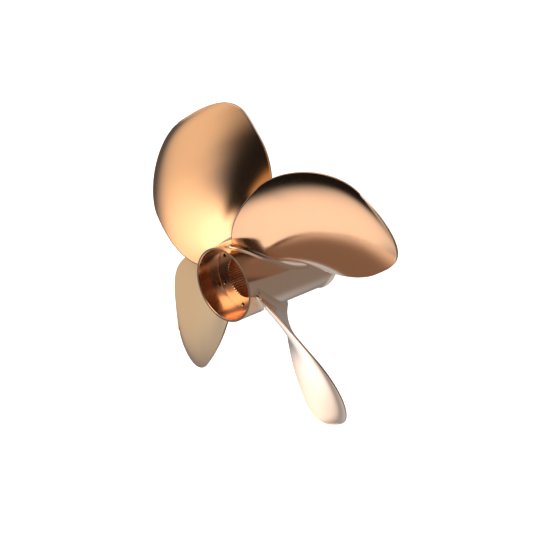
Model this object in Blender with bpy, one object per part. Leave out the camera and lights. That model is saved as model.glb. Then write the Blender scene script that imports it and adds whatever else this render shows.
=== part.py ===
"""Ship propeller with four twisted blades, cast in bronze, machined and polished.

The shaft axis is the world's Y axis. The near end of the hub, with the open recess
and the six screw holes, faces -Y, and the slightly flared far end faces +Y. The
origin is on the axis, halfway along the hub. Every shape is made round its own Z
axis, and one empty turns that axis to the world's Y.

The real propeller is one casting. Here the hub and each blade, with the fillet at
its root, are separate solids that lie SEAT_GAP apart.
"""

import math

import bmesh
import bpy
import numpy as np

# Overall sizes in metres; lengths along the shaft are measured from the near rim
PROPELLER_RADIUS = 0.300
HUB_LENGTH = 0.209
HUB_NEAR_RADIUS = 0.0659
HUB_WAIST_RADIUS = 0.0714
HUB_WAIST_AT = 0.1980
HUB_LIP_RADIUS = 0.0744
HUB_EDGE_ROUND = 0.0003
FLARE_STEPS = 4
FLARE_POWER = 1.8

# The recess at each end of the hub, and the bore between them
NEAR_RECESS_RADIUS = 0.0618
NEAR_RECESS_DEPTH = 0.0464
FAR_RECESS_RADIUS = 0.0640
FAR_RECESS_DEPTH = 0.0400
RECESS_CHAMFER = 0.0009
BORE_RADIUS = 0.0360
BORE_CHAMFER = 0.0012
SPLINE_TEETH = 50
SPLINE_DEPTH = 0.0021
SPLINE_SPACE_SHARE = 0.66
SPLINE_FLOOR_SHARE = 0.17
HUB_SEGMENTS = 2 * SPLINE_TEETH

# Screw holes in the near face of the web
SCREW_HOLES = 6
SCREW_CIRCLE_RADIUS = 0.0525
SCREW_HOLE_RADIUS = 0.0034
SCREW_HOLE_DEPTH = 0.020
SCREW_HOLE_SIDES = 16
FIRST_SCREW_ANGLE = math.radians(30)

# Blades: how many, where the first one stands, and how the section turns into a helix
BLADES = 4
FIRST_BLADE_ANGLE = math.radians(132.7)
PITCH_AT_ROOT = 0.463
PITCH_AT_MIDDLE = 0.713
PITCH_AT_TIP = 0.710
BLADE_CENTRE_AT = 0.0811
RAKE_SLOPE = -0.0320
RAKE_CURVE = 0.0364
CAMBER_AT_ROOT = 0.0690
CAMBER_AT_TIP = 0.0381
CAMBER_LEAN = -0.108

# What the pitch and the rake gain at the root, and how far up the blade the gain fades
PITCH_LIFT = 0.1940
RAKE_LIFT = 0.0150
ROOT_LIFT_REACH = 0.12

# Blade outline, as the reach of each side from the blade's centre line
NEAR_ROOT_REACH = 0.0875
NEAR_WIDEST_REACH = 0.1135
NEAR_WIDEST_AT = 0.583
NEAR_ROOT_POWER = 2.33
NEAR_TIP_POWER = 1.8
FAR_ROOT_REACH = 0.0439
FAR_WIDEST_REACH = 0.1332
FAR_WIDEST_AT = 0.675
FAR_ROOT_POWER = 1.84
FAR_TIP_POWER = 4.55

# Thickness of the blade as a plate, and how far in from the near edge, the far edge and
# the tip each face swells to it
PLATE_AT_ROOT = 0.0024
PLATE_AT_TIP = 0.0106
NEAR_FACE_SWELL = (0.0207, 0.0003, 0.0071)
FAR_FACE_SWELL = (0.0350, 0.0300, 0.0250)
EDGE_RADIUS = 0.0013

# What the root adds to the plate: the near face bulges and the far face is a little hollow
ROOT_BULGE = 0.0288
ROOT_HOLLOW = 0.0135
ROOT_SWELL_POWER = 1.01
ROOT_SWELL_LEAN = -0.09
ROOT_SWELL_REACH = 0.436

# The fillet round the root, and the gap under it
FILLET_RADIUS = 0.0085
FILLET_TOE = 0.0004
SEAT_GAP = 0.0003

# How finely a blade is divided
BLADE_RINGS = 17
CHORD_STATIONS = 15
FILLET_STEPS = 4
BASE_STRIPS = 6

BRONZE_COLOUR = (0.87, 0.53, 0.34, 1.0)
BRONZE_ROUGHNESS = 0.18


def clear_scene():
    """Remove whatever the scene holds."""
    for thing in list(bpy.data.objects):
        bpy.data.objects.remove(thing, do_unlink=True)


def bronze(name):
    """Polished bronze for one piece."""
    material = bpy.data.materials.new(name)
    material.use_nodes = True
    shader = material.node_tree.nodes["Principled BSDF"]
    shader.inputs["Base Color"].default_value = BRONZE_COLOUR
    shader.inputs["Metallic"].default_value = 1.0
    shader.inputs["Roughness"].default_value = BRONZE_ROUGHNESS
    return material


def add_object(name, mesh, parent):
    """Put a mesh into the scene under the empty on the shaft axis."""
    thing = bpy.data.objects.new(name, mesh)
    bpy.context.scene.collection.objects.link(thing)
    thing.parent = parent
    return thing


def finish_mesh(bm, name):
    """Point all faces outwards, shade the round ones smooth and return the mesh."""
    bmesh.ops.recalc_face_normals(bm, faces=bm.faces)
    mesh = bpy.data.meshes.new(name)
    bm.to_mesh(mesh)
    bm.free()
    mesh.shade_smooth()
    mesh.set_sharp_from_angle(angle=math.radians(35))
    return mesh


def along(distance):
    """Turn a distance from the near rim into a height on the shaft axis."""
    return distance - HUB_LENGTH / 2


def hub_radius(height):
    """Radius of the hub's conical outside, up to where the flare starts."""
    slope = (HUB_WAIST_RADIUS - HUB_NEAR_RADIUS) / HUB_WAIST_AT
    return HUB_NEAR_RADIUS + slope * (height - along(0.0))


# The hub


def flare_points():
    """Points of the far end's flare, from its start out to the lip."""
    points = []
    for step in range(1, FLARE_STEPS + 1):
        share = step / FLARE_STEPS
        radius = HUB_WAIST_RADIUS + (HUB_LIP_RADIUS - HUB_WAIST_RADIUS) * share ** FLARE_POWER
        points.append((radius, HUB_WAIST_AT + (HUB_LENGTH - HUB_EDGE_ROUND - HUB_WAIST_AT) * share))
    return points


def hub_profile():
    """Closed outline of the turned hub as (radius, distance from the near rim)."""
    far_web = HUB_LENGTH - FAR_RECESS_DEPTH
    outside = [(HUB_NEAR_RADIUS - HUB_EDGE_ROUND, 0.0), (HUB_NEAR_RADIUS, HUB_EDGE_ROUND)]
    outside.append((HUB_WAIST_RADIUS, HUB_WAIST_AT))
    outside += flare_points()
    outside.append((HUB_LIP_RADIUS - HUB_EDGE_ROUND, HUB_LENGTH))
    far_end = [
        (FAR_RECESS_RADIUS + RECESS_CHAMFER, HUB_LENGTH),
        (FAR_RECESS_RADIUS, HUB_LENGTH - RECESS_CHAMFER),
        (FAR_RECESS_RADIUS, far_web),
    ]
    bore = [
        (BORE_RADIUS + BORE_CHAMFER, far_web),
        (BORE_RADIUS, far_web - BORE_CHAMFER),
        (BORE_RADIUS, NEAR_RECESS_DEPTH + BORE_CHAMFER),
        (BORE_RADIUS + BORE_CHAMFER, NEAR_RECESS_DEPTH),
    ]
    near_end = [
        (NEAR_RECESS_RADIUS, NEAR_RECESS_DEPTH),
        (NEAR_RECESS_RADIUS, RECESS_CHAMFER),
        (NEAR_RECESS_RADIUS + RECESS_CHAMFER, 0.0),
    ]
    return outside + far_end + bore + near_end


def turned_hub():
    """Spin the hub's outline once round the shaft axis."""
    bm = bmesh.new()
    corners = [bm.verts.new((radius, 0.0, along(distance))) for radius, distance in hub_profile()]
    edges = [bm.edges.new((a, b)) for a, b in zip(corners, corners[1:] + corners[:1])]
    bmesh.ops.spin(bm, geom=corners + edges, cent=(0, 0, 0), axis=(0, 0, 1),
                   angle=2 * math.pi, steps=HUB_SEGMENTS, use_duplicate=False)
    bmesh.ops.remove_doubles(bm, verts=bm.verts, dist=1e-6)
    return finish_mesh(bm, "hub")


def spline_outline():
    """Toothed outline whose points reach into the wall at each spline space."""
    air = BORE_RADIUS - 0.001
    floor = BORE_RADIUS + SPLINE_DEPTH
    pitch = 2 * math.pi / SPLINE_TEETH
    points = []
    for tooth in range(SPLINE_TEETH):
        middle = tooth * pitch
        wide = pitch * SPLINE_SPACE_SHARE / 2
        narrow = pitch * SPLINE_FLOOR_SHARE / 2
        for radius, angle in ((air, -wide), (floor, -narrow), (floor, narrow), (air, wide)):
            points.append((radius * math.cos(middle + angle), radius * math.sin(middle + angle)))
    return points


def spline_cutter(parent):
    """Long toothed bar that cuts the spline spaces."""
    start = along(NEAR_RECESS_DEPTH) - 0.004
    length = HUB_LENGTH - NEAR_RECESS_DEPTH - FAR_RECESS_DEPTH + 0.008
    return prism("spline_cutter", spline_outline(), start, length, parent)


def screw_hole_cutter(index, parent):
    """Round bar that drills one screw hole from the near side."""
    turn = 2 * math.pi / SCREW_HOLE_SIDES
    outline = []
    for side in range(SCREW_HOLE_SIDES):
        angle = (side + 0.5) * turn
        outline.append((SCREW_HOLE_RADIUS * math.cos(angle), SCREW_HOLE_RADIUS * math.sin(angle)))
    start = along(NEAR_RECESS_DEPTH) - 0.004
    cutter = prism(f"screw_cutter_{index}", outline, start, SCREW_HOLE_DEPTH + 0.004, parent)
    place = FIRST_SCREW_ANGLE + index * 2 * math.pi / SCREW_HOLES
    cutter.location.x = SCREW_CIRCLE_RADIUS * math.cos(place)
    cutter.location.y = SCREW_CIRCLE_RADIUS * math.sin(place)
    return cutter


def prism(name, outline, start, length, parent):
    """Straight bar of the given outline, kept as a wire guide for cutting."""
    bm = bmesh.new()
    face = bm.faces.new([bm.verts.new((x, y, start)) for x, y in outline])
    moved = bmesh.ops.extrude_face_region(bm, geom=[face])["geom"]
    corners = [part for part in moved if isinstance(part, bmesh.types.BMVert)]
    bmesh.ops.translate(bm, verts=corners, vec=(0, 0, length))
    cutter = add_object(name, finish_mesh(bm, name), parent)
    cutter.hide_render = True
    cutter.display_type = "WIRE"
    return cutter


def cut(thing, cutter):
    """Take the cutter's shape out of the thing."""
    boolean = thing.modifiers.new(cutter.name, "BOOLEAN")
    boolean.operation = "DIFFERENCE"
    boolean.solver = "EXACT"
    boolean.object = cutter


def make_hub(parent):
    """Turned hub with its splined bore and the screw holes in its web."""
    hub = add_object("hub", turned_hub(), parent)
    hub.data.materials.append(bronze("hub_bronze"))
    cut(hub, spline_cutter(parent))
    for index in range(SCREW_HOLES):
        cut(hub, screw_hole_cutter(index, parent))
    return hub


# The blades


def side_reach(share, root, widest, widest_at, root_power, tip_power):
    """Reach of one side at a share of the blade's length.

    Below the widest place it falls off to the root by a power of the distance, and
    above it the side is a quarter of a superellipse that ends on the centre line.
    """
    below = np.clip(1 - share / widest_at, 0, 1)
    above = np.clip((share - widest_at) / (1 - widest_at), 0, 1)
    inner = widest - (widest - root) * below ** root_power
    outer = widest * (1 - above ** tip_power) ** (1 / tip_power)
    return float(np.where(share < widest_at, inner, outer))


def near_reach(share):
    """Reach towards the near rim."""
    return side_reach(share, NEAR_ROOT_REACH, NEAR_WIDEST_REACH, NEAR_WIDEST_AT,
                      NEAR_ROOT_POWER, NEAR_TIP_POWER)


def far_reach(share):
    """Reach towards the far end."""
    return side_reach(share, FAR_ROOT_REACH, FAR_WIDEST_REACH, FAR_WIDEST_AT,
                      FAR_ROOT_POWER, FAR_TIP_POWER)


def share_of(radius):
    """Share of the blade's length at a radius, 0 at the hub and 1 at the tip."""
    return (radius - HUB_NEAR_RADIUS) / (PROPELLER_RADIUS - HUB_NEAR_RADIUS)


def pitch(share):
    """Pitch on a parabola through three values, with a lift near the root."""
    slope = PITCH_AT_TIP - PITCH_AT_ROOT
    bend = 2 * (PITCH_AT_ROOT + PITCH_AT_TIP - 2 * PITCH_AT_MIDDLE)
    lift = PITCH_LIFT * np.exp(-share / ROOT_LIFT_REACH)
    return PITCH_AT_MIDDLE + slope * (share - 0.5) + bend * (share - 0.5) ** 2 + lift


def rake(share):
    """Place of the blade's centre line along the shaft."""
    lift = RAKE_LIFT * np.exp(-share / ROOT_LIFT_REACH)
    return along(BLADE_CENTRE_AT) + RAKE_SLOPE * share + RAKE_CURVE * share ** 2 + lift


def plate(share):
    """Thickness of the blade as a plate, without what its root adds."""
    return PLATE_AT_ROOT + (PLATE_AT_TIP - PLATE_AT_ROOT) * share


def camber(share, chord, part):
    """Camber at a part of the chord: a parabola whose crest leans to one side."""
    height = CAMBER_AT_ROOT + (CAMBER_AT_TIP - CAMBER_AT_ROOT) * share
    return height * chord * 4 * part * (1 - part) * (1 + CAMBER_LEAN * (1 - 2 * part))


def swelling(distance, reach):
    """Share of the full thickness at a distance in from an edge, by an exponential approach."""
    return 1 - np.exp(-distance / reach)


def half_thickness(places, chord, share, reaches):
    """Half the plate's thickness on one face: it swells inwards from both edges and the tip."""
    from_near, from_far, from_tip = reaches
    swell = swelling(places, from_near) * swelling(chord - places, from_far)
    swell = swell * swelling((1 - share) * (PROPELLER_RADIUS - HUB_NEAR_RADIUS), from_tip)
    return EDGE_RADIUS + (plate(share) / 2 - EDGE_RADIUS) * swell


def root_swell(share, part):
    """Share of the root's bulge and hollow at a part of the chord.

    It is a power of the parabola 4 part (1 - part), leaning to one side, and fades
    by exp(-share / reach) along the blade.
    """
    lean = 1 + ROOT_SWELL_LEAN * (1 - 2 * part)
    return (4 * part * (1 - part)) ** ROOT_SWELL_POWER * lean * np.exp(-share / ROOT_SWELL_REACH)


def section(share, edge_share=1.0):
    """Closed section in its own plane as an array of (along the chord, across it).

    It runs along one face from the near edge to the far edge and back along the
    other. The edges are half round, and the plate swells inwards from each edge.
    """
    near = -near_reach(share)
    chord = far_reach(share) - near
    edge = EDGE_RADIUS
    even = np.linspace(0, 1, CHORD_STATIONS)
    middle = (even + (1 - np.cos(np.pi * even)) / 2) / 2
    places = edge + (chord - 2 * edge) * middle
    places = np.concatenate(([0, 0.3 * edge], places, [chord - 0.3 * edge, chord]))
    bow = camber(share, chord, places / chord)
    to_end = np.minimum(places, chord - places)
    end = np.sqrt(np.clip(1 - np.clip(1 - to_end / edge, 0, 1) ** 2, 0, 1)) * edge_share
    root = root_swell(share, places / chord)
    far_face = bow + half_thickness(places, chord, share, FAR_FACE_SWELL) * end - ROOT_HOLLOW * root
    near_face = bow - half_thickness(places, chord, share, NEAR_FACE_SWELL) * end - ROOT_BULGE * root
    upper = np.column_stack((near + places, far_face))
    lower = np.column_stack((near + places, near_face))
    return np.concatenate((upper, lower[-2:0:-1]))


def widened(loop, distance):
    """The section with every point moved outwards by a distance."""
    step = np.roll(loop, -1, axis=0) - np.roll(loop, 1, axis=0)
    outward = np.column_stack((-step[:, 1], step[:, 0]))
    outward /= np.linalg.norm(outward, axis=1)[:, None]
    return loop + outward * distance


def wrapped(plane, radius, share):
    """Points of a section laid on the helix, as x, y and z round the shaft axis.

    The chord runs along the helix of the pitch at this share, so a point moves
    along the shaft by the sine of the helix angle and round it by the cosine.
    """
    angle = math.atan2(pitch(share), 2 * math.pi * float(np.mean(radius)))
    height = rake(share) + plane[:, 0] * math.sin(angle) + plane[:, 1] * math.cos(angle)
    turn = (plane[:, 0] * math.cos(angle) - plane[:, 1] * math.sin(angle)) / radius
    return np.column_stack((radius * np.cos(turn), radius * np.sin(turn), height))


def seated(plane, share, rise):
    """Points of a section laid at a height above the hub's conical outside."""
    radius = np.full(len(plane), HUB_NEAR_RADIUS)
    for _ in range(3):
        radius = hub_radius(wrapped(plane, radius, share)[:, 2]) + SEAT_GAP + rise
    return wrapped(plane, radius, share)


def root_share():
    """Share of the blade's length at which the fillet ends."""
    return share_of(hub_radius(along(BLADE_CENTRE_AT)) + SEAT_GAP + FILLET_RADIUS)


def fillet_rings():
    """Rings of the fillet from its toe on the hub up to the blade's own section."""
    share = root_share()
    rings = [seated(widened(section(share), FILLET_RADIUS), share, 0.0)]
    for step in range(FILLET_STEPS + 1):
        angle = 0.5 * math.pi * step / FILLET_STEPS
        out = FILLET_RADIUS * (1 - math.sin(angle))
        rise = FILLET_TOE + (FILLET_RADIUS - FILLET_TOE) * (1 - math.cos(angle))
        rings.append(seated(widened(section(share), out), share, rise))
    return rings


def blade_rings():
    """Rings of the free blade from the fillet to the rounded tip."""
    start = root_share()
    rings = []
    for step in range(1, BLADE_RINGS + 1):
        share = start + (1 - start) * math.sin(0.5 * math.pi * step / (BLADE_RINGS + 1))
        radius = HUB_NEAR_RADIUS + share * (PROPELLER_RADIUS - HUB_NEAR_RADIUS)
        cone = hub_radius(along(BLADE_CENTRE_AT)) + SEAT_GAP + FILLET_RADIUS
        fade = math.exp(-(radius - cone) / FILLET_RADIUS)
        rings.append(tilted(section(share), radius, share, fade))
    for inset, edge_share in ((0.3, 0.71), (0.0, 0.3)):
        radius = PROPELLER_RADIUS - inset * EDGE_RADIUS
        share = share_of(radius - 0.2 * EDGE_RADIUS)
        rings.append(wrapped(section(share, edge_share), np.full(loop_length(), radius), share))
    return rings


def tilted(plane, radius, share, fade):
    """A ring at a radius that still follows the hub's cone by the fading share."""
    radii = np.full(len(plane), radius)
    middle = hub_radius(along(BLADE_CENTRE_AT))
    heights = wrapped(plane, radii, share)[:, 2]
    return wrapped(plane, radii + fade * (hub_radius(heights) - middle), share)


def loop_length():
    """Number of points in a section."""
    return 2 * (CHORD_STATIONS + 4) - 2


def add_ring(bm, ring):
    """Add one ring's points to the mesh."""
    return [bm.verts.new(point) for point in ring]


def bridge(bm, lower, upper):
    """Join two rings of as many points with a band of quads."""
    count = len(lower)
    for index in range(count):
        after = (index + 1) % count
        bm.faces.new((lower[index], lower[after], upper[after], upper[index]))


def close_base(bm, ring):
    """Close the base with strips that follow the hub's cone under the blade."""
    share = root_share()
    plane = widened(section(share), FILLET_RADIUS)
    last = CHORD_STATIONS + 3
    face = plane[1:last]
    back = plane[:last:-1]
    columns = [ring[1:last]]
    for strip in range(1, BASE_STRIPS):
        between = face + (back - face) * strip / BASE_STRIPS
        columns.append(add_ring(bm, seated(between, share, 0.0)))
    columns.append(ring[:last:-1])
    for left, right in zip(columns, columns[1:]):
        for index in range(last - 2):
            bm.faces.new((left[index], left[index + 1], right[index + 1], right[index]))
    for left, right in zip(columns, columns[1:]):
        bm.faces.new((ring[0], left[0], right[0]))
        bm.faces.new((ring[last], right[-1], left[-1]))


def close_tip(bm, ring):
    """Close the tip with one strip of quads between the two faces."""
    last = CHORD_STATIONS + 3
    face = ring[1:last]
    back = ring[:last:-1]
    for index in range(last - 2):
        bm.faces.new((face[index], face[index + 1], back[index + 1], back[index]))
    bm.faces.new((ring[0], face[0], back[0]))
    bm.faces.new((ring[last], back[-1], face[-1]))


def blade_mesh():
    """One blade with its root fillet, standing on the hub at angle zero."""
    bm = bmesh.new()
    rings = [add_ring(bm, ring) for ring in fillet_rings() + blade_rings()]
    for lower, upper in zip(rings, rings[1:]):
        bridge(bm, lower, upper)
    close_base(bm, rings[0])
    close_tip(bm, rings[-1])
    bmesh.ops.triangulate(bm, faces=bm.faces)
    return finish_mesh(bm, "blade")


def make_blades(parent):
    """Like blades at equal angles round the shaft."""
    mesh = blade_mesh()
    mesh.materials.append(bronze("blade_bronze"))
    for index in range(BLADES):
        blade = add_object(f"blade_{index + 1}", mesh, parent)
        blade.rotation_euler.z = -FIRST_BLADE_ANGLE + index * 2 * math.pi / BLADES


def main():
    """Build the propeller."""
    clear_scene()
    shaft = bpy.data.objects.new("shaft_axis", None)
    bpy.context.scene.collection.objects.link(shaft)
    shaft.rotation_euler.x = -math.pi / 2
    make_hub(shaft)
    make_blades(shaft)
    bpy.context.view_layer.update()


main()
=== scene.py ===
"""Looks of the ship propeller: a polished bronze casting on a pale studio floor.

The shaft axis is Y. The near end of the hub faces -Y. An angle round the shaft is
measured from +X towards +Z, so a point at a radius and an angle lies at
x = radius * cos(angle), z = radius * sin(angle).
"""

import math

import bmesh
import bpy
import numpy as np
from mathutils import Matrix, Vector


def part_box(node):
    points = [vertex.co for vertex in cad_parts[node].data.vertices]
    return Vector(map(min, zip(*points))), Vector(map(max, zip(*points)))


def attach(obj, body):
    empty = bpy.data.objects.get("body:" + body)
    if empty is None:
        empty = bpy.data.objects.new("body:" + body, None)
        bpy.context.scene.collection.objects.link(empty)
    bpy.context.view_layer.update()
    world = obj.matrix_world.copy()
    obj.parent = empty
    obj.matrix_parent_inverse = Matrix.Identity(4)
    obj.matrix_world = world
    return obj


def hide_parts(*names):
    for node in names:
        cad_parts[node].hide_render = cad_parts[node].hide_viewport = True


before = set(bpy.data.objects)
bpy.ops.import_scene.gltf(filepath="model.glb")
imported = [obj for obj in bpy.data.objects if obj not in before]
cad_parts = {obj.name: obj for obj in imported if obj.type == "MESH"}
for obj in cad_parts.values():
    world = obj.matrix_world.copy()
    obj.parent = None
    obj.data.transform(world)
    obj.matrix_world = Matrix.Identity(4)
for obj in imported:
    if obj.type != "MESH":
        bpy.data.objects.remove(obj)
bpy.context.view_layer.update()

TAU = 2 * math.pi

# Sizes read from the frame
HUB_LOW, HUB_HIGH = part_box("hub")
NEAR_RIM = HUB_LOW.y
FAR_RIM = HUB_HIGH.y
LIP_RADIUS = HUB_HIGH.x

# The hub's outside, with lengths measured from the near rim
NEAR_RADIUS = 0.0659
WAIST_RADIUS = 0.0714
WAIST_AT = 0.1980
FLARE_POWER = 1.8
RIM_ROUND = 0.0002
# Painted shade on the flat rims, which darkens their reflections
RIM_PAINTED_SHADE = 0.40

# The hub's inside
NEAR_RECESS_RADIUS = 0.0618
NEAR_RECESS_DEPTH = 0.0464
FAR_RECESS_RADIUS = 0.0640
FAR_RECESS_DEPTH = 0.0400
RECESS_CHAMFER = 0.0009
# Painted shade in the hub's recesses
RECESS_PAINTED_SHADE = 0.05
CORNER_ROUND = 0.0008
BORE_RADIUS = 0.0360
BORE_CHAMFER = 0.0012

# The splines. A flank lies between two shares of the pitch, from the groove's middle.
SPLINE_TEETH = 50
SPLINE_DEPTH = 0.0021
SPLINE_FLANK = (1 / 12, 4 / 12)
# Painted shade in the splines' grooves, growing from the tooth tips to the groove floors
GROOVE_PAINTED_SHADE = 0.30

# The screw holes
SCREW_HOLES = 6
SCREW_CIRCLE_RADIUS = 0.0525
SCREW_HOLE_RADIUS = 0.0034
SCREW_HOLE_DEPTH = 0.020
DRILL_POINT_LENGTH = 0.003
FIRST_SCREW_ANGLE = math.radians(30)
HOLE_CHAMFER = 0.0004
THREAD_TURNS = 8
THREAD_PITCH = 0.00125
THREAD_DEPTH = 0.0006

# The blades. The round tip stays just inside the frame's flat-sided one.
TIP_INSIDE = 0.00015
PROPELLER_RADIUS = 0.300 - TIP_INSIDE
BLADE_LENGTH = PROPELLER_RADIUS - NEAR_RADIUS
BLADES = 4
FIRST_BLADE_ANGLE = math.radians(132.7)
PITCH_AT_ROOT = 0.463
PITCH_AT_MIDDLE = 0.713
PITCH_AT_TIP = 0.710
BLADE_CENTRE_AT = 0.0811
RAKE_SLOPE = -0.0320
RAKE_CURVE = 0.0364
RAKE_LIFT = 0.0150
PITCH_LIFT = 0.1940
ROOT_LIFT_REACH = 0.12
CAMBER_AT_ROOT = 0.0690
CAMBER_AT_TIP = 0.0381
CAMBER_LEAN = -0.108
NEAR_FACE = {"from_near_edge": 0.0207, "from_far_edge": 0.0003, "from_tip": 0.0071}
FAR_FACE = {"from_near_edge": 0.0350, "from_far_edge": 0.0300, "from_tip": 0.0250}
NEAR_SIDE = {"root": 0.0875, "widest": 0.1135, "widest_at": 0.583, "root_power": 2.33, "tip_power": 1.80}
FAR_SIDE = {"root": 0.0439, "widest": 0.1332, "widest_at": 0.675, "root_power": 1.84, "tip_power": 4.55}
PLATE_AT_ROOT = 0.0024
PLATE_AT_TIP = 0.0106
EDGE_RADIUS = 0.0013
EDGE_CHORD_SHARE = 0.2
ROOT_BULGE = 0.0288
ROOT_HOLLOW = 0.0135
ROOT_SWELL_POWER = 1.01
ROOT_SWELL_LEAN = -0.090
ROOT_SWELL_REACH = 0.436
FILLET_RADIUS = 0.0085
SINK = 0.0002
# Painted shade in the hollow of each blade's root fillet, fading over its reach
FILLET_PAINTED_SHADE = 0.12
FILLET_PAINTED_SHADE_REACH = 0.0030
# Painted shade along the blades' round edges, standing in for their dark reflections
EDGE_PAINTED_SHADE = 0.35

# How finely a blade is divided. The rows crowd towards the tip by a power.
CHORD_STATIONS = 84
EDGE_STATIONS = 7
FILLET_ROWS = 14
SPAN_ROWS = 100
TIP_ROWS = 46
TIP_ROWS_FROM = 0.955
TIP_CROWDING = 3.5
SEATING_STEPS = 4

# How finely the hub is divided. The web's rings bound the flat round its screw holes.
CORNER_STEPS = 6
NEAR_WALL_SHARES = (0.8, 0.6, 0.4, 0.2)
FAR_WALL_SHARES = (0.25, 0.5, 0.75)
FLARE_ROWS = 9
CONE_FROM = 0.002
CONE_ROWS = 24
MOUTH_ROWS = 6
MOUTH_REACH = 1.05
COLLAR_SHARES = (1.0, 0.3)
COLUMNS_PER_TOOTH = 12
BORE_ROWS = 8
FAR_WEB_ROWS = 5
SECTOR_RUNGS = 7
SPOKE_SHARES = (0, 0.35, 0.65, 0.85, 1)
WEB_RINGS = (0.0430, 0.0590)
SHARP_ANGLE = math.radians(32)

# Points closer than this are one, and a surface counts as reached within its slack
MERGE_DISTANCE = 1e-6
SLACK = 0.0001
RIM_SLACK = 0.00001

# The photograph's view
FRAME_SIDE = 533
RIM_CENTRE_PIXEL = (222.87, 285.39)
PIXELS_PER_UNIT_SLOPE = 1089.2
RIM_DEPTH = 1.8384
VIEW_TURN = math.radians(45.0)
VIEW_RISE = math.radians(25.07)
SENSOR_WIDTH = 36.0

# The bronze. Scales are noise cells to the metre, and colours are linear.
CLOUD_SCALE = (9.0, 9.0, 9.0)
CLOUD_DETAIL = 3.0
HUB_MARK_SCALE = (12.0, 1400.0, 1400.0)
BLADE_MARK_SCALE = (14.0, 1200.0, 1200.0)
MARK_DETAIL = 4.0
MARK_HEIGHT = 0.0000003
NOISE_ROUGHNESS = 0.6
BRONZE_PALE = (0.945, 0.635, 0.445)
BRONZE_DEEP = (0.925, 0.595, 0.415)
# Dark colour of the shade painted into hollows, grooves, edges and rims
PAINTED_SHADE_COLOUR = (0.030, 0.016, 0.010)
HUB_ROUGHNESS = 0.14
BLADE_ROUGHNESS = 0.115
ROUGHNESS_CLOUD = 0.02
ROUGHNESS_MARKS = 0.02
# Roughness added where shade is painted
ROUGHNESS_IN_PAINTED_SHADE = 0.40

# The studio
BACKDROP_WHITE = (1.0, 1.0, 1.0)
STUDIO_GREY = (0.25, 0.25, 0.25)
FLOOR_SIDE = 60.0
FLOOR_LEVEL = -1.5
FLOOR_PAINT = (0.92, 0.92, 0.92)
FLOOR_ROUGHNESS = 0.9
SKY_LIGHT = 3.6
SKY_LIGHT_ANGLE = math.radians(70)

# Tints of the studio's panels
WHITE = (1.0, 1.0, 1.0)
CREAM = (1.0, 1.0, 0.8)
WARM = (1.15, 1.0, 0.85)
STRAW = (1.25, 1.0, 0.7)
AMBER = (1.5, 0.8, 0.3)
SKY = (0.8, 1.0, 1.15)

# Panels: name, azimuth, height, half width, half height, tilt, softness, tint, brightness.
# The angles are in degrees, and a later panel lies over the earlier ones.
PANELS = [
    ("left ceiling", -110, 50, 60, 30, 0, 10, WHITE, 0.6),
    ("right ceiling", 110, 60, 60, 30, 0, 10, WHITE, 0.6),
    ("back softbox", 160, 30, 20, 15, 0, 8, SKY, 1.5),
    ("right dark", 55, 0, 20, 30, 0, 10, WHITE, 0.05),
    ("left dark", -45, 10, 15, 20, 0, 8, WHITE, 0.1),
    ("left wall", -80, -8, 35, 12, 0, 10, CREAM, 0.65),
    ("front softbox", -12, 10, 10, 30, 0, 10, STRAW, 0.75),
    ("top softbox", 0, 60, 30, 30, 0, 12, STRAW, 1.8),
    ("front flag", 14, -12, 25, 45, -30, 8, WHITE, 0.01),
    ("amber strip", 25, 0, 5, 15, -30, 5, AMBER, 0.4),
    ("floor", 0, -90, 400, 38, 0, 12, SKY, 0.7),
    ("left card", -105, -40, 35, 5, 0, 5, WHITE, 1.5),
    ("front floor", 0, -70, 35, 22, 0, 6, WARM, 1.05),
]


def along(distance):
    """Place on the shaft axis of a distance from the near rim."""
    return NEAR_RIM + distance


def hub_radius(place):
    """Radius of the hub's cone at a place on the shaft axis, on a straight line from rim to waist."""
    slope = (WAIST_RADIUS - NEAR_RADIUS) / WAIST_AT
    return NEAR_RADIUS + slope * (place - NEAR_RIM)


# Making meshes


def mesh_object(name, points, faces):
    """A mesh object from an array of points and a list of face arrays, shaded smooth."""
    mesh = bpy.data.meshes.new(name)
    corners = np.concatenate([np.asarray(block).ravel() for block in faces]).astype(np.int32)
    totals = np.concatenate([np.full(len(block), block.shape[1]) for block in faces])
    starts = np.concatenate(([0], np.cumsum(totals)[:-1])).astype(np.int32)
    mesh.vertices.add(len(points))
    mesh.vertices.foreach_set("co", np.asarray(points, np.float32).ravel())
    mesh.loops.add(len(corners))
    mesh.loops.foreach_set("vertex_index", corners)
    mesh.polygons.add(len(totals))
    mesh.polygons.foreach_set("loop_start", starts)
    mesh.update(calc_edges=True)
    mesh.validate()
    mesh.shade_smooth()
    thing = bpy.data.objects.new(name, mesh)
    bpy.context.scene.collection.objects.link(thing)
    return thing


def ring_quads(rows, columns, first=0):
    """Quads between rows of a grid whose columns close into rings."""
    row = np.arange(rows - 1)[:, None] * columns
    here = np.arange(columns)[None, :]
    after = (here + 1) % columns
    quads = np.stack((row + here, row + after, row + columns + after, row + columns + here), -1)
    return first + quads.reshape(-1, 4)


def strip_quads(left, right):
    """Quads between two rows of point numbers."""
    return np.stack((left[:-1], left[1:], right[1:], right[:-1]), -1)


# The blades


def side_reach(share, side):
    """Reach of one side of the blade from its centre line.

    Below the widest place it falls off by a power of the distance to it, and above
    it the side is a quarter of a superellipse that ends on the centre line.
    """
    below = np.clip(1 - share / side["widest_at"], 0, 1)
    above = np.clip((share - side["widest_at"]) / (1 - side["widest_at"]), 0, 1)
    inner = side["widest"] - (side["widest"] - side["root"]) * below ** side["root_power"]
    outer = side["widest"] * (1 - above ** side["tip_power"]) ** (1 / side["tip_power"])
    return np.where(share < side["widest_at"], inner, outer)


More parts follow.
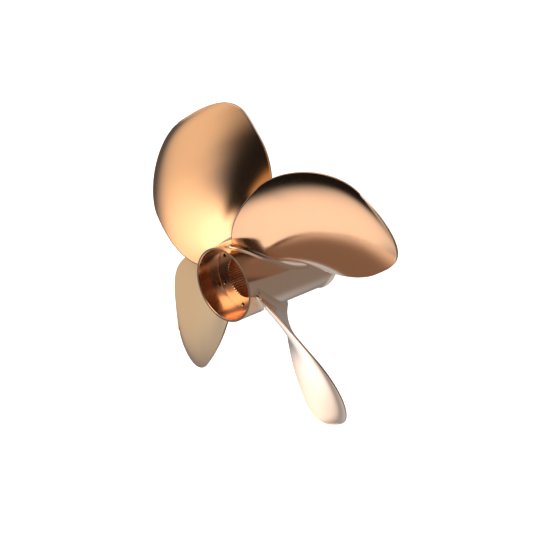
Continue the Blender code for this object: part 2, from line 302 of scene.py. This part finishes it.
def pitch(share):
    """Pitch on a parabola through three values, with a lift of exp(-share / reach) near the root."""
    slope = PITCH_AT_TIP - PITCH_AT_ROOT
    bend = 2 * (PITCH_AT_ROOT + PITCH_AT_TIP - 2 * PITCH_AT_MIDDLE)
    lift = PITCH_LIFT * np.exp(-share / ROOT_LIFT_REACH)
    return PITCH_AT_MIDDLE + slope * (share - 0.5) + bend * (share - 0.5) ** 2 + lift


def rake(share):
    """Place of the blade's centre line along the shaft: a parabola, lifted as the pitch is."""
    lift = RAKE_LIFT * np.exp(-share / ROOT_LIFT_REACH)
    return along(BLADE_CENTRE_AT) + RAKE_SLOPE * share + RAKE_CURVE * share ** 2 + lift


def plate(share):
    """Thickness of the plate away from the edges, on a straight line from root to tip.

    The root's bulge adds to it, and the root's hollow takes from it.
    """
    return PLATE_AT_ROOT + (PLATE_AT_TIP - PLATE_AT_ROOT) * share


def share_of(radius):
    """Share of the blade's length at a radius, 0 at the hub and 1 at the tip."""
    return (radius - NEAR_RADIUS) / BLADE_LENGTH


def half_round(depth):
    """Half thickness of a round edge at a depth in from it, both in edge radii."""
    return np.sqrt(np.clip(1 - (1 - np.clip(depth, 0, 1)) ** 2, 0, 1))


def swelling(distance, reach):
    """Share of the full thickness at a distance in from an edge, by an exponential approach."""
    return 1 - np.exp(-distance / reach)


def half_thickness(places, chord, share, face):
    """Half the thickness on one face: it swells inwards from both edges and from the tip."""
    swell = swelling(places, face["from_near_edge"]) * swelling(chord - places, face["from_far_edge"])
    swell = swell * swelling((1 - share) * BLADE_LENGTH, face["from_tip"])
    return EDGE_RADIUS + (plate(share) / 2 - EDGE_RADIUS) * swell


def root_swell(share, part):
    """Share of the root's bulge and hollow at a part of the chord.

    It is a power of the parabola 4 part (1 - part), leaning to one side, and fades
    by exp(-share / reach) along the blade.
    """
    lean = 1 + ROOT_SWELL_LEAN * (1 - 2 * part)
    return (4 * part * (1 - part)) ** ROOT_SWELL_POWER * lean * np.exp(-share / ROOT_SWELL_REACH)


def sections(share, tip_round):
    """Closed sections, one row for each share, as (along the chord, across it).

    A section runs along the far face from the near edge to the far edge and back along
    the near face. The camber is a leaning parabola along the chord, and the edges are
    half round. Near the root both faces move towards the near side by the root's
    swelling. tip_round thins the rows close to the tip. The stations between the edges
    lie halfway between even ones and ones that crowd at both ends by a cosine.
    """
    share = share[:, None]
    near = -side_reach(share, NEAR_SIDE)
    chord = side_reach(share, FAR_SIDE) - near
    edge = np.minimum(EDGE_RADIUS, EDGE_CHORD_SHARE * chord)
    quarter = np.linspace(0, np.pi / 2, EDGE_STATIONS)[:-1]
    lead_in = edge * (1 - np.cos(quarter))
    even = np.linspace(0, 1, CHORD_STATIONS)
    inner = ((1 - np.cos(np.pi * even)) / 2 + even) / 2
    middle = edge + (chord - 2 * edge) * inner
    places = np.concatenate((lead_in, middle, chord - lead_in[:, ::-1]), axis=1)
    part = places / chord
    lean = 1 + CAMBER_LEAN * (1 - 2 * part)
    height = (CAMBER_AT_ROOT + (CAMBER_AT_TIP - CAMBER_AT_ROOT) * share) * chord
    camber = height * 4 * part * (1 - part) * lean
    end = half_round(np.minimum(places, chord - places) / edge) * tip_round[:, None]
    swell = root_swell(share, part)
    upper = camber + half_thickness(places, chord, share, FAR_FACE) * end - ROOT_HOLLOW * swell
    lower = camber - half_thickness(places, chord, share, NEAR_FACE) * end - ROOT_BULGE * swell
    upper = np.stack((near + places, upper), -1)
    lower = np.stack((near + places, lower), -1)
    return np.concatenate((upper, lower[:, -2:0:-1]), axis=1)


def widened(loops, distance):
    """Sections with every point moved outwards, square to the outline, by a distance."""
    step = np.roll(loops, -1, axis=1) - np.roll(loops, 1, axis=1)
    outward = np.stack((-step[..., 1], step[..., 0]), -1)
    outward /= np.linalg.norm(outward, axis=-1, keepdims=True)
    return loops + outward * distance


def wrapped(plane, radius, share, turn):
    """Section points laid on the helix, round the shaft axis.

    The chord runs along the helix of the pitch at this share, so a point moves
    along the shaft by the sine of the helix angle, and round it by the cosine.
    """
    level = NEAR_RADIUS + share * BLADE_LENGTH
    helix = np.arctan2(pitch(share), TAU * level)
    place = rake(share) + plane[..., 0] * np.sin(helix) + plane[..., 1] * np.cos(helix)
    sweep = plane[..., 0] * np.cos(helix) - plane[..., 1] * np.sin(helix)
    angle = turn - sweep / radius
    return np.stack((radius * np.cos(angle), place, radius * np.sin(angle)), -1)


def seated(plane, share, rise, turn):
    """Section points laid at a height above the hub's cone.

    A point's radius depends on its place along the shaft and the other way round, so
    the two are worked out in turn, a few times.
    """
    radius = np.full(plane.shape[:-1], NEAR_RADIUS)
    for _ in range(SEATING_STEPS):
        radius = hub_radius(wrapped(plane, radius, share, turn)[..., 1]) + rise
    return wrapped(plane, radius, share, turn)


def blade_points(turn):
    """All rows of a blade's surface, from the fillet's toe to the tip.

    The fillet is a quarter circle: at the angle a its row is widened by
    (1 - sin a) of the radius and stands (1 - cos a) of the radius above the hub.
    Above it each row lies at one radius. The first of these rows still follow the
    hub's cone, and that fades by exp(-height above the fillet / its radius).
    """
    middle = hub_radius(along(BLADE_CENTRE_AT))
    start = share_of(middle + FILLET_RADIUS)
    swing = np.linspace(0, np.pi / 2, FILLET_ROWS)[:, None]
    root = np.repeat(sections(np.array([start]), np.ones(1)), FILLET_ROWS, axis=0)
    toe = widened(root, FILLET_RADIUS * (1 - np.sin(swing[..., None])))
    fillet = seated(toe, start, FILLET_RADIUS * (1 - np.cos(swing)), turn)
    foot = seated(toe[:1], start, -SINK, turn)

    even = np.linspace(start, TIP_ROWS_FROM, SPAN_ROWS)[1:]
    still_to_go = 1 - np.linspace(0, 1, TIP_ROWS + 1)[1:-1]
    fine = 1 - (1 - TIP_ROWS_FROM) * still_to_go ** TIP_CROWDING
    share = np.concatenate((even, fine))
    radius = NEAR_RADIUS + share * BLADE_LENGTH
    plane = sections(share, half_round((PROPELLER_RADIUS - radius) / EDGE_RADIUS))
    share, radius = share[:, None], radius[:, None]
    fade = np.exp(-(radius - middle - FILLET_RADIUS) / FILLET_RADIUS)
    flat = wrapped(plane, np.broadcast_to(radius, plane.shape[:-1]), share, turn)
    coned = radius + fade * (hub_radius(flat[..., 1]) - middle)
    return np.concatenate((foot, fillet, wrapped(plane, coned, share, turn)))


def section_cap(row):
    """Faces that close one section: quads from side to side and a triangle at each edge."""
    half = len(row) // 2
    out, back = row[1:half], row[:half:-1]
    edges = np.array([(row[0], out[0], back[0]), (out[-1], row[half], back[-1])])
    return strip_quads(out, back), edges


def make_blade(index, material):
    """One blade with its root fillet, closed by a strip under the root and one at the tip."""
    rows = blade_points(FIRST_BLADE_ANGLE - index * TAU / BLADES)
    count, width = rows.shape[:2]
    numbers = np.arange(count * width).reshape(count, width)
    faces = [ring_quads(count, width)[:, ::-1]]
    faces += section_cap(numbers[0])
    faces += [cap[:, ::-1] for cap in section_cap(numbers[-1])]
    blade = mesh_object(f"polished_blade_{index + 1}", rows.reshape(-1, 3), faces)
    finish_marks(blade.data, *blade_lay(rows))
    dress(blade, material, "blade_bronze", f"blade_{index + 1}")
    return blade


def blade_lay(rows):
    """Places along the chord and along the radius, and the painted shade of the root and the edges.

    The first is the row's running length round the section, in metres, the second the
    distance from the shaft. Shade is painted in the fillet's hollow by exp(-(height above the
    hub / its reach) squared), and the round edges have one even painted shade
    for their dark reflections.
    """
    step = np.linalg.norm(np.diff(rows, axis=1, prepend=rows[:, :1]), axis=-1)
    radius = np.hypot(rows[..., 0], rows[..., 2])
    lay = np.stack((np.cumsum(step, axis=1), radius, radius), -1)
    height = radius - hub_radius(rows[..., 1])
    # Painted shade in the fillet's hollow
    painted_shade = FILLET_PAINTED_SHADE * np.exp(-(height / FILLET_PAINTED_SHADE_REACH) ** 2)
    half = rows.shape[1] // 2
    # Painted shade along the round edges, outside the fillet
    edge = np.zeros(rows.shape[1])
    for middle in (0, half):
        stations = np.arange(middle + 2 - EDGE_STATIONS, middle + EDGE_STATIONS - 1)
        edge[stations % len(edge)] = EDGE_PAINTED_SHADE
    free = np.arange(len(rows)) > FILLET_ROWS
    return lay.reshape(-1, 3), np.maximum(painted_shade, edge[None, :] * free[:, None]).ravel()


def from_screw(x, z):
    """Distance of points from the axis of the nearest screw hole."""
    sector = TAU / SCREW_HOLES
    turn = (np.arctan2(z, x) - FIRST_SCREW_ANGLE + sector / 2) % sector - sector / 2
    radius = np.hypot(x, z)
    return np.hypot(radius * np.cos(turn) - SCREW_CIRCLE_RADIUS, radius * np.sin(turn))


def hub_painted_shade(x, depth, z):
    """Painted shade in the screw holes, the splines' grooves and the recesses, and on the flat rims."""
    length, radius = FAR_RIM - NEAR_RIM, np.hypot(x, z)
    far_web = length - FAR_RECESS_DEPTH
    from_end = np.minimum(depth, length - depth)
    below_web = depth - NEAR_RECESS_DEPTH
    in_web = (below_web > HOLE_CHAMFER + SLACK) & (below_web < SCREW_HOLE_DEPTH + SLACK)
    hole = in_web & (from_screw(x, z) < SCREW_HOLE_RADIUS + SLACK)
    in_bore = (depth > NEAR_RECESS_DEPTH + BORE_CHAMFER / 2) & (depth < far_web - BORE_CHAMFER / 2)
    in_bore = in_bore & (radius < BORE_RADIUS + SPLINE_DEPTH + SLACK)
    groove = in_bore * np.clip((radius - BORE_RADIUS) / SPLINE_DEPTH, 0, 1)
    off_web = (depth < NEAR_RECESS_DEPTH + SLACK) | (depth > far_web - SLACK)
    recess = off_web & (from_end > SLACK) & (radius < FAR_RECESS_RADIUS + SLACK)
    rim = from_end < RIM_ROUND + RIM_SLACK
    # Painted shade: full in the screw holes, and by its own amount in the grooves, the recesses and on
    # the rims
    layers = (hole * 1.0, groove * GROOVE_PAINTED_SHADE, recess * RECESS_PAINTED_SHADE, rim * RIM_PAINTED_SHADE)
    return np.maximum.reduce(layers)


def hub_lay(mesh):
    """Turning marks round the shaft, and the hub's painted shade.

    The marks' places are the arc round the shaft, the place along it and the radius.
    """
    places = np.empty(len(mesh.vertices) * 3, np.float32)
    mesh.vertices.foreach_get("co", places)
    x, y, z = places.reshape(-1, 3).T.astype(float)
    radius = np.hypot(x, z)
    return np.stack((np.arctan2(z, x) * radius, y, radius), -1), hub_painted_shade(x, y - NEAR_RIM, z)


def finish_marks(mesh, lay, painted_shade):
    """Store the direction of the tool marks and the painted shade on the mesh's points."""
    directions = mesh.attributes.new("lay", "FLOAT_VECTOR", "POINT").data
    directions.foreach_set("vector", lay.astype(np.float32).ravel())
    depths = mesh.attributes.new("painted_shade", "FLOAT", "POINT").data
    depths.foreach_set("value", painted_shade.astype(np.float32))


def dress(piece, material, slot, *nodes):
    """Give a piece its finish and let it stand for its frame nodes."""
    piece.data.materials.append(material)
    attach(piece, "root")
    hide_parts(*nodes)


# The hub


def arc(centre, radius, start, end):
    """Points of a round corner as (radius from the shaft, distance from the near rim)."""
    angle = np.radians(np.linspace(start, end, CORNER_STEPS))
    return list(zip(centre[0] + radius * np.cos(angle), centre[1] + radius * np.sin(angle)))


def flare():
    """The far end's hollow flare: the radius grows from waist to lip by a power of the run."""
    share = np.linspace(0, 1, FLARE_ROWS)
    rise = (LIP_RADIUS - WAIST_RADIUS) * share ** FLARE_POWER
    run = (FAR_RIM - NEAR_RIM - RIM_ROUND - WAIST_AT) * share
    return list(zip(WAIST_RADIUS + rise, WAIST_AT + run))


def turned_profile():
    """The turned part of the hub, from the near web face round the outside to the far web face.

    It is straight lines, round corners and the flare, as (radius, distance from the near rim).
    """
    length = FAR_RIM - NEAR_RIM
    near, far, small = NEAR_RECESS_RADIUS, FAR_RECESS_RADIUS, CORNER_ROUND
    depth, far_web = NEAR_RECESS_DEPTH, length - FAR_RECESS_DEPTH
    profile = arc((near - small, depth - small), small, 90, 0)
    profile += [(near, depth * share) for share in NEAR_WALL_SHARES]
    profile += [(near, RECESS_CHAMFER), (near + RECESS_CHAMFER, 0)]
    profile += arc((NEAR_RADIUS - RIM_ROUND, RIM_ROUND), RIM_ROUND, -90, 0)
    cone = np.linspace(CONE_FROM, WAIST_AT, CONE_ROWS)[:-1]
    profile += [(hub_radius(along(place)), place) for place in cone]
    profile += flare()
    profile += arc((LIP_RADIUS - RIM_ROUND, length - RIM_ROUND), RIM_ROUND, 0, 90)[1:]
    profile += [(far + RECESS_CHAMFER, length), (far, length - RECESS_CHAMFER)]
    profile += [(far, length - FAR_RECESS_DEPTH * share) for share in FAR_WALL_SHARES]
    profile += arc((far - small, far_web + small), small, 0, -90)
    web = np.linspace(far - small, WEB_RINGS[0], FAR_WEB_ROWS)[1:]
    profile += [(radius, far_web) for radius in web]
    return np.array(profile)


def hub_angles():
    """Evenly spaced angles of the hub's columns, a whole number to each spline pitch."""
    count = SPLINE_TEETH * COLUMNS_PER_TOOTH
    return np.arange(count) * TAU / count


def tooth_radius(angle):
    """Wall of the splined bore: flat floors, straight sloping flanks and flat tooth tips."""
    turn = np.abs((angle * SPLINE_TEETH / TAU + 0.5) % 1 - 0.5)
    return BORE_RADIUS + SPLINE_DEPTH * np.interp(turn, SPLINE_FLANK, [1, 0])


def turned_rows(profile, angle):
    """Rows of points where a profile is turned round the shaft."""
    radius, place = profile[:, :1], np.repeat(along(profile[:, 1:]), len(angle), axis=1)
    return np.stack((radius * np.cos(angle), place, radius * np.sin(angle)), -1)


def bore_rows(angle):
    """Rows of the splined bore from the far web face to the near one, with a collar on each.

    Each point lies at the larger of the tooth's radius and the mouth's cone, which
    narrows by as much as the depth into the bore. A collar is the flat ring of the
    web between the toothed mouth and a circle round it.
    """
    start = FAR_RIM - FAR_RECESS_DEPTH
    length = start - along(NEAR_RECESS_DEPTH)
    mouth = np.linspace(0, BORE_CHAMFER * MOUTH_REACH, MOUTH_ROWS)
    middle = np.linspace(mouth[-1], length - mouth[-1], BORE_ROWS)[1:-1]
    depth = np.concatenate((mouth, middle, length - mouth[::-1]))[:, None]
    cone = BORE_RADIUS + BORE_CHAMFER - np.minimum(depth, length - depth)
    radius = np.maximum(tooth_radius(angle)[None, :], cone)
    collar = radius[0] + (WEB_RINGS[0] - radius[0]) * np.array(COLLAR_SHARES)[:, None]
    radius = np.concatenate((collar, radius, collar[::-1]))
    depth = np.concatenate((depth[:1], depth[:1], depth, depth[-1:], depth[-1:]))
    place = np.repeat(start - depth, len(angle), axis=1)
    return np.stack((radius * np.cos(angle), place, radius * np.sin(angle)), -1)


def sector_loop(index, angle):
    """Closed loop of points round one screw hole's sector of the web face.

    It runs along the inner ring, out along a spoke, back along the outer ring and in
    along the other spoke.
    """
    count = len(angle) // SCREW_HOLES
    first = index * count
    sweep = np.append(angle, angle + TAU)[first:first + count + 1]
    inner, outer = WEB_RINGS
    rungs = np.linspace(inner, outer, SECTOR_RUNGS)
    radius = np.concatenate((np.full(count, inner), rungs[:-1], np.full(count, outer), rungs[:0:-1]))
    side = np.ones(SECTOR_RUNGS - 1)
    turn = np.concatenate((sweep[:-1], sweep[-1] * side, sweep[:0:-1], sweep[0] * side))
    return np.stack((radius * np.cos(turn), radius * np.sin(turn)), -1)


def screw_hole_rows(index, angle):
    """Rows of the web face round one screw hole, and on down its ringed thread.

    The face's spokes run straight from the sector's loop to the hole's rim, and the
    thread is a row of ridges with the drill's cone at the bottom.
    """
    loop = sector_loop(index, angle)
    middle = FIRST_SCREW_ANGLE + index * TAU / SCREW_HOLES
    centre = SCREW_CIRCLE_RADIUS * np.array([math.cos(middle), math.sin(middle)])
    spoke = loop - centre
    spoke /= np.linalg.norm(spoke, axis=-1, keepdims=True)
    mouth = centre + spoke * (SCREW_HOLE_RADIUS + HOLE_CHAMFER)
    rows = [loop + (mouth - loop) * share for share in SPOKE_SHARES]
    depths = [0.0] * len(rows)
    for ridge in range(2 * THREAD_TURNS):
        rows.append(centre + spoke * (SCREW_HOLE_RADIUS - (ridge % 2) * THREAD_DEPTH))
        depths.append(HOLE_CHAMFER + ridge * THREAD_PITCH / 2)
    wall = centre + spoke * SCREW_HOLE_RADIUS
    rows += [wall, wall, centre + spoke * 0]
    cone_from = SCREW_HOLE_DEPTH - DRILL_POINT_LENGTH
    depths += [depths[-1] + THREAD_PITCH / 2, cone_from, SCREW_HOLE_DEPTH]
    flat = np.array(rows)
    place = np.repeat((along(NEAR_RECESS_DEPTH) + np.array(depths))[:, None], len(loop), axis=1)
    return np.stack((flat[..., 0], place, flat[..., 1]), -1)


def make_hub(material):
    """The hub as one closed mesh, its grids joined where their edges coincide.

    The grids are the turned part, the splined bore with its collars, the web's outer
    ring, and the web's sectors with the screw holes in them.
    """
    angle = hub_angles()
    corner = NEAR_RECESS_RADIUS - CORNER_ROUND
    depth = NEAR_RECESS_DEPTH
    outer_ring = np.array([(radius, depth) for radius in np.linspace(WEB_RINGS[1], corner, 3)])
    grids = [turned_rows(turned_profile(), angle), bore_rows(angle), turned_rows(outer_ring, angle)]
    grids += [screw_hole_rows(index, angle) for index in range(SCREW_HOLES)]
    points, quads, first = [], [], 0
    for rows in grids:
        points.append(rows.reshape(-1, 3))
        quads.append(ring_quads(*rows.shape[:2], first))
        first += rows.shape[0] * rows.shape[1]
    hub = mesh_object("turned_hub", np.concatenate(points), quads)
    join_grids(hub.data)
    finish_marks(hub.data, *hub_lay(hub.data))
    dress(hub, material, "hub_bronze", "hub")
    return hub


def join_grids(mesh):
    """Merge coinciding points and point all faces outwards."""
    bm = bmesh.new()
    bm.from_mesh(mesh)
    bmesh.ops.remove_doubles(bm, verts=bm.verts, dist=MERGE_DISTANCE)
    bmesh.ops.recalc_face_normals(bm, faces=bm.faces)
    bm.to_mesh(mesh)
    bm.free()
    mesh.shade_smooth()
    mesh.set_sharp_from_angle(angle=SHARP_ANGLE)


# Shader nodes


def maths(tree, operation, *values):
    """A Math node's output. Each value is a number or another node's output."""
    node = tree.nodes.new("ShaderNodeMath")
    node.operation = operation
    for socket, value in zip(node.inputs, values):
        if isinstance(value, (int, float)):
            socket.default_value = value
        else:
            tree.links.new(value, socket)
    return node.outputs[0]


def mixed(tree, mask, below, above):
    """Colour mixed from below to above by a mask. A colour is a tuple or an output."""
    node = tree.nodes.new("ShaderNodeMix")
    node.data_type = "RGBA"
    tree.links.new(mask, node.inputs["Factor"])
    for socket, colour in ((node.inputs["A"], below), (node.inputs["B"], above)):
        if isinstance(colour, tuple):
            socket.default_value = (*colour, 1)
        else:
            tree.links.new(colour, socket)
    return node.outputs["Result"]


# The finish


def streaks(tree, vector, scale, detail):
    """Noise drawn out along one axis by unlike scales of a place's three parts."""
    stretch = tree.nodes.new("ShaderNodeVectorMath")
    stretch.operation = "MULTIPLY"
    stretch.inputs[1].default_value = scale
    tree.links.new(vector, stretch.inputs[0])
    noise = tree.nodes.new("ShaderNodeTexNoise")
    noise.inputs["Scale"].default_value = 1.0
    noise.inputs["Detail"].default_value = detail
    noise.inputs["Roughness"].default_value = NOISE_ROUGHNESS
    tree.links.new(stretch.outputs[0], noise.inputs["Vector"])
    return noise.outputs[0]


def attribute(tree, name):
    """The nodes' reading of one of the mesh's attributes."""
    node = tree.nodes.new("ShaderNodeAttribute")
    node.attribute_name = name
    return node


def polished_bronze(name, roughness, mark_scale):
    """Mirror-polished bronze with fine tool marks, a cloudy tint and painted shade in its crevices, on
    its edges and on its rims.

    The marks run along the mesh's "lay" attribute, (along the marks, across them, across
    them). The attribute of painted shade darkens and dulls the metal from 0 to 1.
    """
    material = bpy.data.materials.new(name)
    material.use_nodes = True
    tree = material.node_tree
    shader = tree.nodes["Principled BSDF"]
    shader.inputs["Metallic"].default_value = 1.0
    place = tree.nodes.new("ShaderNodeTexCoord").outputs["Object"]
    cloud = streaks(tree, place, CLOUD_SCALE, CLOUD_DETAIL)
    marks = streaks(tree, attribute(tree, "lay").outputs["Vector"], mark_scale, MARK_DETAIL)
    painted_shade = attribute(tree, "painted_shade").outputs["Fac"]
    tint = mixed(tree, cloud, BRONZE_PALE, BRONZE_DEEP)
    # Painted shade: the tint is mixed towards the dark colour by the mesh's shade mask
    tree.links.new(mixed(tree, painted_shade, tint, PAINTED_SHADE_COLOUR), shader.inputs["Base Color"])
    rough = maths(tree, "MULTIPLY_ADD", cloud, ROUGHNESS_CLOUD, roughness)
    rough = maths(tree, "MULTIPLY_ADD", marks, ROUGHNESS_MARKS, rough)
    rough = maths(tree, "MULTIPLY_ADD", painted_shade, ROUGHNESS_IN_PAINTED_SHADE, rough)
    tree.links.new(rough, shader.inputs["Roughness"])
    bump = tree.nodes.new("ShaderNodeBump")
    bump.inputs["Strength"].default_value = 1.0
    bump.inputs["Distance"].default_value = MARK_HEIGHT
    tree.links.new(marks, bump.inputs["Height"])
    tree.links.new(bump.outputs[0], shader.inputs["Normal"])
    return material


# Camera


def make_camera():
    """Camera at the photograph's viewing angle.

    The centre of the near rim lies at RIM_DEPTH in front of the camera and shows at
    RIM_CENTRE_PIXEL in a frame of FRAME_SIDE pixels.
    """
    turn, rise = VIEW_TURN, VIEW_RISE
    ahead = Vector((-math.sin(turn) * math.cos(rise), math.cos(turn) * math.cos(rise), -math.sin(rise)))
    right = Vector((math.cos(turn), math.sin(turn), 0))
    up = right.cross(ahead)
    across = (RIM_CENTRE_PIXEL[0] - FRAME_SIDE / 2) * RIM_DEPTH / PIXELS_PER_UNIT_SLOPE
    above = (FRAME_SIDE / 2 - RIM_CENTRE_PIXEL[1]) * RIM_DEPTH / PIXELS_PER_UNIT_SLOPE
    rim_centre = Vector((0, NEAR_RIM, 0))
    eye = rim_centre - right * across - up * above - ahead * RIM_DEPTH
    data = bpy.data.cameras.new("camera")
    data.sensor_width = SENSOR_WIDTH
    data.lens = SENSOR_WIDTH * PIXELS_PER_UNIT_SLOPE / FRAME_SIDE
    camera = bpy.data.objects.new("camera", data)
    camera.matrix_world = Matrix.LocRotScale(eye, Matrix((right, up, -ahead)).transposed(), None)
    bpy.context.scene.collection.objects.link(camera)
    bpy.context.scene.camera = camera


# Studio


def soft_step(tree, value, size, softness):
    """1 where a distance is well inside a size, 0 well outside, and smooth between."""
    node = tree.nodes.new("ShaderNodeMapRange")
    node.interpolation_type = "SMOOTHERSTEP"
    node.inputs["From Min"].default_value = size + softness
    node.inputs["From Max"].default_value = size - softness
    tree.links.new(value, node.inputs["Value"])
    return node.outputs[0]


def panel_mask(tree, azimuth, height, place, half_size, tilt, softness):
    """Mask of a soft rectangle in azimuth and height, turned by its tilt."""
    across = maths(tree, "WRAP", maths(tree, "SUBTRACT", azimuth, place[0]), 180.0, -180.0)
    above = maths(tree, "SUBTRACT", height, place[1])
    cosine, sine = math.cos(math.radians(tilt)), math.sin(math.radians(tilt))
    wide = maths(tree, "MULTIPLY_ADD", above, sine, maths(tree, "MULTIPLY", across, cosine))
    tall = maths(tree, "MULTIPLY_ADD", across, -sine, maths(tree, "MULTIPLY", above, cosine))
    sides = soft_step(tree, maths(tree, "ABSOLUTE", wide), half_size[0], softness)
    ends = soft_step(tree, maths(tree, "ABSOLUTE", tall), half_size[1], softness)
    return maths(tree, "MULTIPLY", sides, ends)


def make_world():
    """The studio's soft panels, laid over each other in order, and a white backdrop.

    A direction's azimuth runs from -Y towards +X, and its height from the horizon up,
    both in degrees. The camera itself sees plain white behind the propeller.
    """
    world = bpy.data.worlds.new("studio")
    world.use_nodes = True
    bpy.context.scene.world = world
    tree = world.node_tree
    tree.nodes.clear()
    direction = tree.nodes.new("ShaderNodeSeparateXYZ")
    tree.links.new(tree.nodes.new("ShaderNodeTexCoord").outputs["Generated"], direction.inputs[0])
    x, y, z = direction.outputs
    azimuth = maths(tree, "DEGREES", maths(tree, "ARCTAN2", x, maths(tree, "MULTIPLY", y, -1.0)))
    height = maths(tree, "DEGREES", maths(tree, "ARCSINE", z))
    glow = STUDIO_GREY
    for name, turn, rise, half_width, half_height, tilt, softness, tint, brightness in PANELS:
        mask = panel_mask(tree, azimuth, height, (turn, rise), (half_width, half_height), tilt, softness)
        glow = mixed(tree, mask, glow, tuple(part * brightness for part in tint))
        glow.node.label = name
    seen = tree.nodes.new("ShaderNodeLightPath").outputs["Is Camera Ray"]
    light = tree.nodes.new("ShaderNodeBackground")
    tree.links.new(mixed(tree, seen, glow, BACKDROP_WHITE), light.inputs["Color"])
    output = tree.nodes.new("ShaderNodeOutputWorld")
    tree.links.new(light.outputs[0], output.inputs["Surface"])


def make_floor():
    """Plain pale floor, far enough below for its shadow to fall outside the view."""
    corner = np.array([(-1, -1), (1, -1), (1, 1), (-1, 1)]) * FLOOR_SIDE / 2
    points = np.column_stack((corner, np.full(4, FLOOR_LEVEL)))
    floor = mesh_object("studio_floor", points, [np.array([[0, 1, 2, 3]])])
    paint = bpy.data.materials.new("floor_paint")
    paint.use_nodes = True
    shader = paint.node_tree.nodes["Principled BSDF"]
    shader.inputs["Base Color"].default_value = (*FLOOR_PAINT, 1)
    shader.inputs["Roughness"].default_value = FLOOR_ROUGHNESS
    floor.data.materials.append(paint)
    floor.visible_glossy = False


def make_lights():
    """One wide soft light from above. It lights the floor, and the bronze mirrors the panels."""
    data = bpy.data.lights.new("sky_light", "SUN")
    data.energy = SKY_LIGHT
    data.angle = SKY_LIGHT_ANGLE
    light = bpy.data.objects.new("sky_light", data)
    light.visible_glossy = False
    bpy.context.scene.collection.objects.link(light)


make_camera()
bpy.context.scene.view_settings.view_transform = "Standard"
make_world()
make_floor()
make_lights()
make_hub(polished_bronze("hub_polish", HUB_ROUGHNESS, HUB_MARK_SCALE))
blade_finish = polished_bronze("blade_polish", BLADE_ROUGHNESS, BLADE_MARK_SCALE)
for number in range(BLADES):
    make_blade(number, blade_finish)
